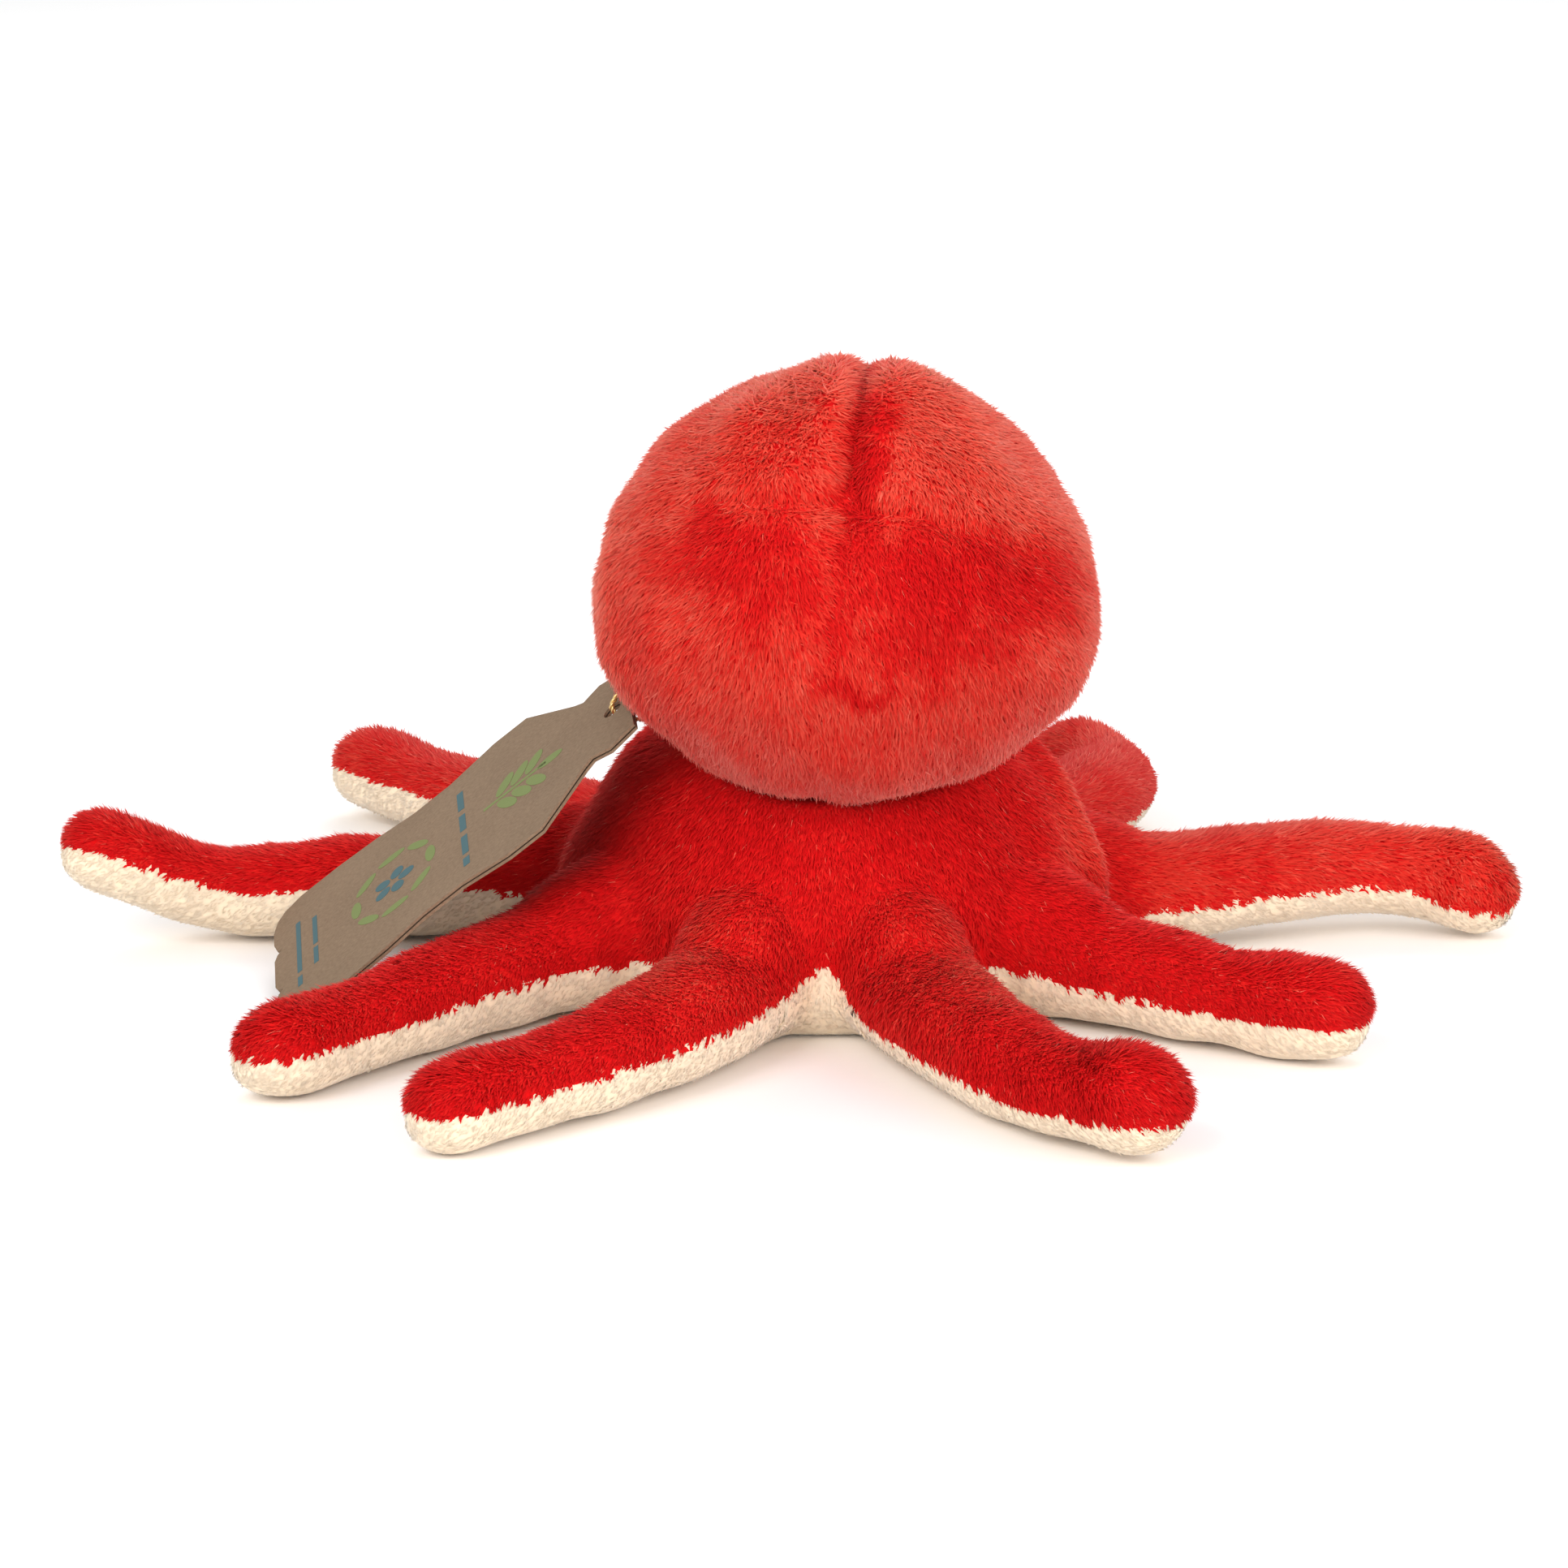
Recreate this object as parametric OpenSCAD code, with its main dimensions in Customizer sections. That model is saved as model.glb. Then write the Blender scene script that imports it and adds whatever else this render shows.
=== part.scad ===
// Soft octopus toy: a stuffed mantle on a wide skirt, eight arms, cream
// undersides, a weighted pouch and a folded card tag on a thread.
// Millimetres. Z is up and the toy rests on z = 0. Y points the way the
// face looks and X to the toy's right.

/* [Skirt] */
// Radius of the skirt where the arms are sewn on
body_r = 50; // [44:1:56]
// Height of the skirt dome before the mantle is set into it
body_h = 58; // [54:1:62]
// Height of the seam between the red skirt and the cream belly
seam_z = 10; // [7:0.5:12]
// Thickness of the plush fabric backing
skin = 1; // [0.8:0.1:1.4]

/* [Mantle] */
// Half width of the mantle from side to side
mantle_rx = 44.5; // [41:0.5:47]
// Radius of the mantle seen from the side
mantle_r = 40; // [37:0.5:42]
// How far the mantle leans back from the middle of the skirt
mantle_back = 26; // [22:1:30]
// How far the mantle sits to the right of the middle of the skirt
mantle_side = 3; // [-4:0.5:4]
// Height of the middle of the mantle
mantle_z = 81; // [79:0.5:84]
// Slope of the axis that the four mantle seams run to
pole_slope = 32; // [20:1:45]

/* [Arms] */
// Share of the drawn arm length
arm_reach = 1; // [0.85:0.01:1.1]
// Width of an arm at the skirt
arm_w = 26; // [21:0.5:27]
// Width of an arm near its tip
tip_w = 17; // [14:0.5:20]
// Height of an arm at the skirt
arm_h = 21; // [17:0.5:23]
// Height of an arm near its tip
tip_h = 14.5; // [12:0.5:17]
// Share of the arm height that is cream underside
under_share = 0.42; // [0.35:0.01:0.5]
// Room between the skirt and an arm root
root_gap = 0.5; // [0.4:0.1:1]

/* [Eyes] */
// Diameter of the moulded eye
eye_d = 11; // [9:0.5:13]
// Angle of each eye away from straight ahead
eye_turn = 32; // [26:1:38]
// Diameter of the eye shank
shank_d = 4; // [3:0.5:5]

/* [Tag] */
// Length of the card from neck to foot
tag_l = 86; // [78:1:86]
// Width of the card
tag_w = 52; // [44:1:54]
// Thickness of one leaf of the card
leaf_t = 0.5; // [0.4:0.1:0.8]
// Diameter of the thread
thread_d = 1; // [0.8:0.1:1.2]

/* [Pellets] */
// Radius of the weighted pouch in the belly
pouch_r = 30; // [24:1:34]
// Diameter of one pellet
pellet_d = 4; // [3:0.5:4.5]

/* [Hidden] */

red = [0.78, 0.09, 0.09];
cream = [0.95, 0.88, 0.75];
white = [0.95, 0.95, 0.93];
kraft = [0.62, 0.52, 0.42];

// ---- skirt -----------------------------------------------------------
mantle_gap = 0.5;
belly_r = body_r - 4.5;
big = 200;

function skirt_profile(in) = [
    [0, in], [belly_r - in / 2, in], [body_r - 1.5 - in, 2 + in / 2],
    [body_r - in, 6], [body_r - in, 21], [body_r - 4 - in, 29],
    [body_r - 8 - in, 36], [body_r - 13 - in, 43 - in / 2],
    [body_r - 20 - in, 49 - in / 2], [body_r - 32 - in, body_h - 3 - in],
    [0, body_h - in]];

module skirt_solid(in) {
    rotate_extrude($fn = 96) polygon(skirt_profile(in));
}

module mantle_solid(in) {
    translate([mantle_side, -mantle_back, mantle_z]) rotate([0, 90, 0])
        rotate_extrude($fn = 96) polygon([for (a = [-90 : 7.5 : 90])
            [(mantle_r - in) * cos(a), (mantle_rx - in) * sin(a)]]);
}

module skirt_shell() {
    difference() {
        skirt_solid(0);
        skirt_solid(skin);
        mantle_solid(-mantle_gap);
        knot_ball();
    }
}

module quarter(sx, sy, low, high) {
    translate([sx > 0 ? 0 : -big, sy > 0 ? 0 : -big, low])
        cube([big, big, high - low]);
}

module skirt_quarter(sx, sy) {
    color(red) intersection() {
        skirt_shell();
        quarter(sx, sy, seam_z, big);
    }
}

module skirt_rear_left() skirt_quarter(-1, -1);
module skirt_rear_right() skirt_quarter(1, -1);
module skirt_front_left() skirt_quarter(-1, 1);
module skirt_front_right() skirt_quarter(1, 1);

module belly() {
    color(cream) intersection() {
        skirt_shell();
        translate([-big / 2, -big / 2, 0]) cube([big, big, seam_z]);
    }
}

pouch_low = skin + 1;
pouch_high = pouch_low + 3 * pellet_d + 2 * skin + 1;

module pouch_solid(in) {
    rotate_extrude($fn = 72) polygon([
        [0, pouch_low + in], [pouch_r - 4 - in, pouch_low + in],
        [pouch_r - in, pouch_low + 5], [pouch_r - in, pouch_high - 5],
        [pouch_r - 4 - in, pouch_high - in], [0, pouch_high - in]]);
}

module body_stuffing() {
    color(white) difference() {
        skirt_solid(skin);
        mantle_solid(-mantle_gap);
        pouch_solid(0);
        knot_ball();
    }
}

module bean_pouch() {
    color(cream) difference() {
        pouch_solid(0);
        pouch_solid(skin / 2);
    }
}

pitch = pellet_d + 0.6;
rows = floor((pouch_r - 7) / pitch);

module pellets() {
    color([0.85, 0.86, 0.88]) for (i = [-rows : rows], j = [-rows : rows])
        if (norm([i + j / 2, j * sin(60)]) * pitch < pouch_r - 7)
            translate([(i + j / 2) * pitch, j * sin(60) * pitch,
                pouch_low + skin + pellet_d / 2]) sphere(d = pellet_d, $fn = 16);
}

// ---- mantle ----------------------------------------------------------
module mantle_frame() {
    translate([mantle_side, -mantle_back, mantle_z]) rotate([-pole_slope, 0, 0])
        children();
}

// a quarter of the mantle: side left or right of the middle, above or
// below the plane that holds the seam pole
module gore(sx, up) {
    color(red) difference() {
        intersection() {
            difference() {
                mantle_solid(0);
                mantle_solid(skin);
            }
            mantle_frame() translate([sx > 0 ? 0 : -big, -big / 2,
                up > 0 ? 0 : -big]) cube([big, big, big]);
        }
        if (up > 0) eye_place(sx) shank();
    }
}

module mantle_upper_left() gore(-1, 1);
module mantle_upper_right() gore(1, 1);
module mantle_lower_left() gore(-1, -1);
module mantle_lower_right() gore(1, -1);

washer_d = eye_d + 2;
washer_t = 1.2;
shank_l = 7;

module mantle_stuffing() {
    color(white) difference() {
        mantle_solid(skin);
        for (s = [-1, 1]) eye_place(s) {
            shank();
            translate([0, 0, -shank_l]) cylinder(d = washer_d, h = shank_l, $fn = 48);
        }
    }
}

// ---- eyes ------------------------------------------------------------
eye_lift = 4;
eye_normal = atan2(sin(eye_turn) / mantle_rx, cos(eye_turn) / mantle_r);

// the eye sits on the mantle with its own z pointing straight out of it
module eye_place(s) {
    translate([mantle_side + s * mantle_rx * sin(eye_turn) * cos(eye_lift),
        -mantle_back + mantle_r * cos(eye_turn) * cos(eye_lift),
        mantle_z + mantle_r * sin(eye_lift)])
        rotate([0, 0, -s * eye_normal]) rotate([-90 + eye_lift, 0, 0])
            children();
}

module shank() {
    translate([0, 0, -shank_l - 1]) cylinder(d = shank_d, h = shank_l + 2, $fn = 32);
}

module eye(s) {
    color([0.03, 0.03, 0.03]) eye_place(s) {
        translate([0, 0, 0.4]) rotate_extrude($fn = 48) polygon(concat([[0, 0]],
            [for (a = [0 : 10 : 90]) [eye_d / 2 * cos(a), eye_d * 0.36 * sin(a)]]));
        translate([0, 0, -shank_l]) cylinder(d = shank_d, h = shank_l + 1, $fn = 32);
    }
}

module eye_left() eye(-1);
module eye_right() eye(1);

module eye_washers() {
    color(white) for (s = [-1, 1]) eye_place(s)
        translate([0, 0, -shank_l + 2]) difference() {
            cylinder(d = washer_d, h = washer_t, $fn = 48);
            translate([0, 0, -1]) cylinder(d = shank_d, h = washer_t + 2, $fn = 32);
        }
}

// ---- arms ------------------------------------------------------------
// root heading, tip x, tip y, tip heading, lift of the middle, lift of
// the tip, thickness share, root run, tip run
ARM_A = [-108, -71, -126, -136, 0, 0, 0.96, 42, 26];
ARM_B = [-149, -104, -94, -138, 0, 0, 1, 26, 32];
ARM_C = [160, -148, 13, 190, 0, 11, 1.04, 40, 30];
ARM_D = [124, -101, 124, 131, 0, 2, 1.04, 30, 30];
ARM_E = [-74, 61, -129, -30, 0, 2, 1.04, 42, 28];
ARM_F = [-36, 97, -68, -24, 0, 1, 1.04, 26, 22];
ARM_G = [13, 130, 16, -62, 3, 0, 1.02, 40, 34];
ARM_H = [57, 42, 128, 160, 2, 2, 1.02, 38, 36];

rings = 13;
tip_rings = 4;
sides = 18;
rest_gap = 0.3;

function mix(a, b, t) = a + (b - a) * t;
function smooth(t) = t <= 0 ? 0 : t >= 1 ? 1 : t * t * (3 - 2 * t);
function dir(a) = [cos(a), sin(a)];
function root_at(arm) = (body_r + root_gap) * dir(arm[0]);
function tip_at(arm) = root_at(arm)
    + arm_reach * ([arm[1], arm[2]] - root_at(arm));
function bezier(arm, t) = let (a = root_at(arm), d = tip_at(arm),
    b = a + arm[7] * arm_reach * dir(arm[0]),
    c = d - arm[8] * arm_reach * dir(arm[3]), u = 1 - t)
    a * u * u * u + 3 * b * u * u * t + 3 * c * u * t * t + d * t * t * t;
function slope(arm, t) = let (h = 0.001,
    v = bezier(arm, min(1, t + h)) - bezier(arm, max(0, t - h))) v / norm(v);
function low_z(arm, t) = rest_gap + arm[4] * sin(180 * t)
    + arm[5] * smooth((t - 0.6) / 0.4);

// share of the way along an arm for ring i: the last rings crowd into
// the rounded end
tip_start = 0.9;
function ring_t(i) = i <= rings ? tip_start * i / rings
    : tip_start + (1 - tip_start) * sin(90 * (i - rings) / (tip_rings + 0.4));
function end_scale(t) = t <= tip_start ? 1
    : sqrt(max(0, 1 - pow((t - tip_start) / (1 - tip_start), 2)));
function wide(arm, t) = mix(arm_w, tip_w * arm[6], smooth(t));
function tall(arm, t) = t == 0 ? arm_h : mix(arm_h, tip_h * arm[6], t);

// one point of ring t at angle a, drawn in by the fabric thickness
function arm_point(arm, t, a, in) = let (
    k = end_scale(t), p = bezier(arm, t), d = slope(arm, t),
    w = wide(arm, t) / 2, h = tall(arm, t),
    down = h * under_share, up = h - down,
    mid = low_z(arm, t) + down,
    ku = max(0.05, k * w - in) * cos(a),
    kz = max(0.05, k * (sin(a) > 0 ? up : down) - in) * sin(a),
    q = p + ku * [-d[1], d[0]],
    r0 = body_r + root_gap,
    side = ku, fix = sqrt(r0 * r0 - side * side) * dir(arm[0])
        + side * [-sin(arm[0]), cos(arm[0])])
    t == 0 ? [fix[0], fix[1], mid + kz] : [q[0], q[1], mid + kz];

// rows of points for one half of an arm, from angle a0 over 180 degrees;
// the inner rows stop one fabric thickness short of the tip
function inner_t(arm, t, in) = t * (1 - in / 90);
function half_rows(arm, a0, in) = [for (i = [0 : rings + tip_rings])
    let (t = in > 0 ? inner_t(arm, ring_t(i), in) : ring_t(i))
    [for (j = [0 : sides / 2]) arm_point(arm, t, a0 + 360 * j / sides, in)]];

// closed solid between two grids of the same size
module between(outer, inner) {
    m = len(outer);
    n = len(outer[0]);
    pts = concat([for (r = outer) each r], [for (r = inner) each r]);
    o = m * n;
    polyhedron(pts, concat(
        [for (i = [0 : m - 2], j = [0 : n - 2]) each
            [[i * n + j, i * n + j + 1, (i + 1) * n + j],
             [i * n + j + 1, (i + 1) * n + j + 1, (i + 1) * n + j]]],
        [for (i = [0 : m - 2], j = [0 : n - 2]) each
            [[o + i * n + j, o + (i + 1) * n + j, o + i * n + j + 1],
             [o + i * n + j + 1, o + (i + 1) * n + j, o + (i + 1) * n + j + 1]]],
        [for (i = [0 : m - 2], e = [0, n - 1]) each
            e == 0 ? [[i * n, (i + 1) * n, o + i * n],
                [(i + 1) * n, o + (i + 1) * n, o + i * n]]
            : [[i * n + e, o + i * n + e, (i + 1) * n + e],
                [(i + 1) * n + e, o + i * n + e, o + (i + 1) * n + e]]],
        [for (j = [0 : n - 2], e = [0, m - 1]) each
            e == 0 ? [[j, o + j, j + 1], [j + 1, o + j, o + j + 1]]
            : [[e * n + j, e * n + j + 1, o + e * n + j],
                [e * n + j + 1, o + e * n + j + 1, o + e * n + j]]]));
}

module arm_top(arm) {
    color(red) between(half_rows(arm, 0, 0), half_rows(arm, 0, skin));
}

module arm_under(arm) {
    color(cream) between(half_rows(arm, 180, 0), half_rows(arm, 180, skin));
}

// the filling shares its facets with the inside of the two fabrics; its
// ends are closed in strips that join points straight above each other
module arm_stuffing(arm) {
    n = sides;
    m = rings + tip_rings + 1;
    top = half_rows(arm, 0, skin);
    low = half_rows(arm, 180, skin);
    rows = [for (i = [0 : m - 1]) concat(
        [for (j = [0 : n / 2]) top[i][j]], [for (j = [1 : n / 2 - 1]) low[i][j]])];
    color(white) polyhedron([for (r = rows) each r], concat(
        [for (i = [0 : m - 2], j = [0 : n - 1]) let (k = (j + 1) % n) each
            [[i * n + j, i * n + k, (i + 1) * n + j],
             [i * n + k, (i + 1) * n + k, (i + 1) * n + j]]],
        [for (j = [0 : n / 2 - 1], e = [0, m - 1]) let (
            a = e * n + j, b = e * n + j + 1,
            c = e * n + (n - j) % n, d = e * n + n - j - 1) each
            j == 0 ? [e == 0 ? [a, d, b] : [a, b, d]]
            : j == n / 2 - 1 ? [e == 0 ? [a, c, b] : [a, b, c]]
            : e == 0 ? [[a, c, b], [b, c, d]] : [[a, b, c], [b, d, c]]]));
}

module arm_a_top() arm_top(ARM_A);
module arm_b_top() arm_top(ARM_B);
module arm_c_top() arm_top(ARM_C);
module arm_d_top() arm_top(ARM_D);
module arm_e_top() arm_top(ARM_E);
module arm_f_top() arm_top(ARM_F);
module arm_g_top() arm_top(ARM_G);
module arm_h_top() arm_top(ARM_H);
module arm_a_under() arm_under(ARM_A);
module arm_b_under() arm_under(ARM_B);
module arm_c_under() arm_under(ARM_C);
module arm_d_under() arm_under(ARM_D);
module arm_e_under() arm_under(ARM_E);
module arm_f_under() arm_under(ARM_F);
module arm_g_under() arm_under(ARM_G);
module arm_h_under() arm_under(ARM_H);
module arm_a_stuffing() arm_stuffing(ARM_A);
module arm_b_stuffing() arm_stuffing(ARM_B);
module arm_c_stuffing() arm_stuffing(ARM_C);
module arm_d_stuffing() arm_stuffing(ARM_D);
module arm_e_stuffing() arm_stuffing(ARM_E);
module arm_f_stuffing() arm_stuffing(ARM_F);
module arm_g_stuffing() arm_stuffing(ARM_G);
module arm_h_stuffing() arm_stuffing(ARM_H);

// ---- tag -------------------------------------------------------------
// The card slopes down to the left between arms b and c. Its own frame:
// x across the card, y up the card towards the neck, z out of its face,
// origin at the middle of the hole.
knot_d = 3;
knot_xy = body_r * [-0.52, -0.2];

// height of the skirt's shoulder at a distance from its axis
function skirt_top(r) = lookup(r, [[body_r - 32, body_h - 3],
    [body_r - 20, 49], [body_r - 13, 43]]);
knot_at = [knot_xy[0], knot_xy[1], skirt_top(norm(knot_xy)) + knot_d / 3];
tag_at = knot_at + [-13.6, -15.5, 4.8];
hole_d = 4;
neck_top = 4;
foot = tag_l - neck_top;

// one edge of the card from the neck down to the middle of the foot
function tag_edge() = let (h = tag_w / 2) [
    [h / 2, neck_top], [h / 2 + 2, -2], [h / 2, -6], [h / 2 + 1.5, -8],
    [h, -19], [h, -27], [h - 3, -38], [h - 3, -47], [h - 1, -56],
    [h, -66], [h, -foot + 7], [h - 1.5, -foot + 3], [h - 4, -foot + 1],
    [h - 8, -foot], [h / 2, -foot], [h / 3 + 1, -foot + 0.7],
    [h / 3, -foot + 2], [h / 3 - 1, -foot + 0.7], [h / 3 - 3, -foot]];
function tag_outline() = let (e = tag_edge(), n = len(e))
    concat([for (p = e) p], [for (i = [n - 1 : -1 : 0]) [-e[i][0], e[i][1]]]);

function unit(v) = v / norm(v);
tag_up = unit([0.775, -0.03, 0.63]);
tag_out = unit(cross([0.12, -0.975, -0.14], tag_up));
tag_across = cross(tag_up, tag_out);

module tag_frame() {
    a = tag_across;
    u = tag_up;
    o = tag_out;
    multmatrix([[a[0], u[0], o[0], tag_at[0]], [a[1], u[1], o[1], tag_at[1]],
        [a[2], u[2], o[2], tag_at[2]], [0, 0, 0, 1]]) children();
}

module leaf(low) {
    color(kraft) tag_frame() translate([0, 0, low]) difference() {
        linear_extrude(leaf_t) polygon(tag_outline());
        translate([0, 0, -1]) cylinder(d = hole_d, h = leaf_t + 2, $fn = 32);
    }
}

leaf_gap = 0.3;
module tag_back() leaf(-leaf_t - leaf_gap);
module tag_front() leaf(0);

// The thread is one loop: from the knot over the neck of the card, down
// through the hole in both leaves and back under the card to the knot.
// Its points are in the frame of the card.
thread_sides = 8;
thread_run = [[-12.6, 7, -15.2], [-11, 7.5, -11], [-8, 7.2, -6],
    [-5, 6.6, -1.5], [-3, 5.2, 1.2], [-1.2, 2.4, 1.7], [0, 0.4, 1.1],
    [0, 0, -0.4], [-0.6, 0.3, -2.2], [-3, 1.6, -5], [-8, 4.4, -10.5],
    [-12.2, 6.6, -14.8]];

// keeps the thread clear of the mantle where it runs past
thread_clear = thread_d / 2 + 0.9;
function off_mantle(p) = let (m = [mantle_side, -mantle_back, mantle_z],
    d = p - m, r = mantle_r + thread_clear,
    k = norm([d[0] / (mantle_rx + thread_clear), d[1] / r, d[2] / r]))
    m + d / min(1, k);

module knot_ball() translate(knot_at) sphere(d = knot_d, $fn = 24);

module tag_knot() {
    color([0.75, 0.62, 0.3]) knot_ball();
}

function in_tag(p) = tag_at + p[0] * tag_across + p[1] * tag_up + p[2] * tag_out;
function thread_at(t) = let (n = len(thread_run) - 1,
    i = min(n - 1, floor(t)), f = t - i,
    p0 = thread_run[max(0, i - 1)], p1 = thread_run[i],
    p2 = thread_run[i + 1], p3 = thread_run[min(n, i + 2)])
    0.5 * (2 * p1 + (p2 - p0) * f + (2 * p0 - 5 * p1 + 4 * p2 - p3) * f * f
        + (3 * p1 - p0 - 3 * p2 + p3) * f * f * f);

module tag_thread() {
    per = 2;
    n = (len(thread_run) - 1) * per;
    s = thread_sides;
    path = [for (i = [0 : n]) off_mantle(in_tag(thread_at(i / per)))];
    ring = [for (i = [0 : n]) let (
        d = unit(path[min(n, i + 1)] - path[max(0, i - 1)]),
        u = unit(cross(d, tag_across + 0.2 * tag_up)), v = cross(d, u))
        [for (j = [0 : s - 1]) let (a = 360 * j / s)
            path[i] + thread_d / 2 * (cos(a) * u + sin(a) * v)]];
    color([0.75, 0.62, 0.3]) polyhedron([for (r = ring) each r], concat(
        [for (i = [0 : n - 1], j = [0 : s - 1]) let (k = (j + 1) % s) each
            [[i * s + j, (i + 1) * s + j, i * s + k],
             [i * s + k, (i + 1) * s + j, (i + 1) * s + k]]],
        [[for (j = [0 : s - 1]) j], [for (j = [s - 1 : -1 : 0]) n * s + j]]));
}

mantle_upper_left();
mantle_upper_right();
mantle_lower_left();
mantle_lower_right();
mantle_stuffing();
eye_left();
eye_right();
eye_washers();
skirt_rear_left();
skirt_rear_right();
skirt_front_left();
skirt_front_right();
belly();
body_stuffing();
bean_pouch();
pellets();
tag_knot();
arm_a_top();
arm_b_top();
arm_c_top();
arm_d_top();
arm_e_top();
arm_f_top();
arm_g_top();
arm_h_top();
arm_a_under();
arm_b_under();
arm_c_under();
arm_d_under();
arm_e_under();
arm_f_under();
arm_g_under();
arm_h_under();
arm_a_stuffing();
arm_b_stuffing();
arm_c_stuffing();
arm_d_stuffing();
arm_e_stuffing();
arm_f_stuffing();
arm_g_stuffing();
arm_h_stuffing();
tag_back();
tag_front();
tag_thread();
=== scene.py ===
import math

import bpy
import numpy as np
from mathutils import Matrix, Vector
from mathutils.bvhtree import BVHTree
from mathutils.kdtree import KDTree


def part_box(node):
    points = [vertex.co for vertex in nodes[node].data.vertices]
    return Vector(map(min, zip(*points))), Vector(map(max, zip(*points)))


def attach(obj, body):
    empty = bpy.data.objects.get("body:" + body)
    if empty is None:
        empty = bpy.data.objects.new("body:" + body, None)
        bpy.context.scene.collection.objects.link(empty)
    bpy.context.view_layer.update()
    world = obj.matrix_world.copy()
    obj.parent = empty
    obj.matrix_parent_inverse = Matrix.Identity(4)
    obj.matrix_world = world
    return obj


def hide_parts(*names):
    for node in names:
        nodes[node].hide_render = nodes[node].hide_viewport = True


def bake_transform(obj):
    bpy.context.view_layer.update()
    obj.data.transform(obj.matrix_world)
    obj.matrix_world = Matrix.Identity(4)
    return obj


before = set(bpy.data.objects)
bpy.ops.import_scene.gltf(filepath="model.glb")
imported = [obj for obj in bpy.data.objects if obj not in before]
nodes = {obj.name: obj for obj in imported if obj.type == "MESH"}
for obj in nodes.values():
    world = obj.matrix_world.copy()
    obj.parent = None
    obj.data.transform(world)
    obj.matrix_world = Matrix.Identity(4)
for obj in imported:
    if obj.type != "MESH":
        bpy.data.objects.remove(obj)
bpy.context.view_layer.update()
scene = bpy.context.scene
mm = 0.001

# camera
view = {"height": 15.5, "distance": 1.2, "lens": 144.2, "aim": (-8.4, 9.3, 33.6)}


def deselectAll():
    bpy.ops.object.select_all(action="DESELECT")


def addCamera():
    deselectAll()
    h = math.radians(view["height"])
    place = Vector((0, -math.cos(h), math.sin(h))) * view["distance"]
    bpy.ops.object.camera_add(location=place)
    camera = bpy.context.object
    camera.name = "camera"
    camera.data.lens = view["lens"]
    camera.data.sensor_width = 36
    camera.data.dof.use_dof = False
    camera.data.clip_start = 0.05
    aim = Vector(view["aim"]) * mm
    camera.rotation_euler = (aim - place).to_track_quat("-Z", "Y").to_euler()
    scene.camera = camera


addCamera()
print("camera placed")


# materials
class Value:  # wraps a socket so that sums of masks read as sums
    def __init__(self, material, socket):
        self.material, self.socket = material, socket

    def join(self, other, kind, swap=False):
        a, b = (other, self) if swap else (self, other)
        return self.material.node("ShaderNodeMath", {"operation": kind}, {0: a, 1: b})

    def __add__(self, other): return self.join(other, "ADD")
    def __radd__(self, other): return self.join(other, "ADD", True)
    def __mul__(self, other): return self.join(other, "MULTIPLY")
    def __rmul__(self, other): return self.join(other, "MULTIPLY", True)


class Finish:  # one material on one Principled shader
    def __init__(self, name, **settings):
        self.material = bpy.data.materials.new(name)
        self.material.use_nodes = True
        self.tree = self.material.node_tree
        self.shader = self.tree.nodes["Principled BSDF"]
        self.set(self.shader, settings)

    def set(self, target, values):
        for key, value in values.items():
            spot = target.inputs[key.replace("_", " ") if isinstance(key, str) else key]
            if isinstance(value, Value):
                self.tree.links.new(value.socket, spot)
            else:
                spot.default_value = value

    def node(self, kind, settings=None, values=None, out=0):
        made = self.tree.nodes.new(kind)
        for key, value in (settings or {}).items():
            if key == "stops":
                for i, (at, colour) in enumerate(value):
                    stop = made.color_ramp.elements[i] if i < 2 else made.color_ramp.elements.new(at)
                    stop.position, stop.color = at, (*colour, 1)
            else:
                setattr(made, key, value)
        self.set(made, values or {})
        return Value(self, made.outputs[out])

    def feed(self, **values):
        self.set(self.shader, values)
        return self


# a finish for pile: one flat colour, so that every tuft keeps it
def pileFinish(name, colour, sheen, tint, style):
    return Finish(name, Base_Color=(*colour, 1), Roughness=0.85, Specular_IOR_Level=0.06,
                  Subsurface_Weight=style["depth"], Subsurface_Scale=0.002, Subsurface_Radius=style["glow"],
                  Sheen_Weight=sheen, Sheen_Roughness=0.45, Sheen_Tint=tint).material


# red plush and cream velour: tones from dark to light, and how the tufts stand; the red tones are shaded and
# lit copies of one plush, for painted shade and painted light, while the cream tones differ at random
redPile = {
    "tones": [(0.54, 0.003, 0.003), (0.66, 0.004, 0.005), (0.74, 0.008, 0.007),
              (0.82, 0.024, 0.015), (0.88, 0.054, 0.032), (0.94, 0.098, 0.062)],
    "sheen": [0.04, 0.08, 0.16, 0.26, 0.38, 0.5],
    "length": 2.8, "lean": 74, "fluff": 13, "width": 0.315, "density": 5.1, "glint": 0.012,
    "depth": 0.28, "glow": (1, 0.4, 0.3), "hem": 0.4,
}
creamPile = {
    "tones": [(0.87, 0.66, 0.44), (0.91, 0.71, 0.50), (0.94, 0.76, 0.56)],
    "sheen": [0.3, 0.35, 0.4],
    "length": 1.1, "lean": 78, "fluff": 0, "width": 0.30, "density": 3.0, "glint": 0, "depth": 0.3,
    "glow": (1, 0.86, 0.7), "hem": 0.8,
}


def pileTones(name, style, tint):
    return [pileFinish("%s%d" % (name, i), colour, sheen, (*tint, 1), style)
            for i, (colour, sheen) in enumerate(zip(style["tones"], style["sheen"]))]


# six finishes of one red plush, from painted shade to painted light
redTones = pileTones("redPile", redPile, (1, 0.5, 0.42))
creamTones = pileTones("creamPile", creamPile, (1, 0.95, 0.86))

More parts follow.
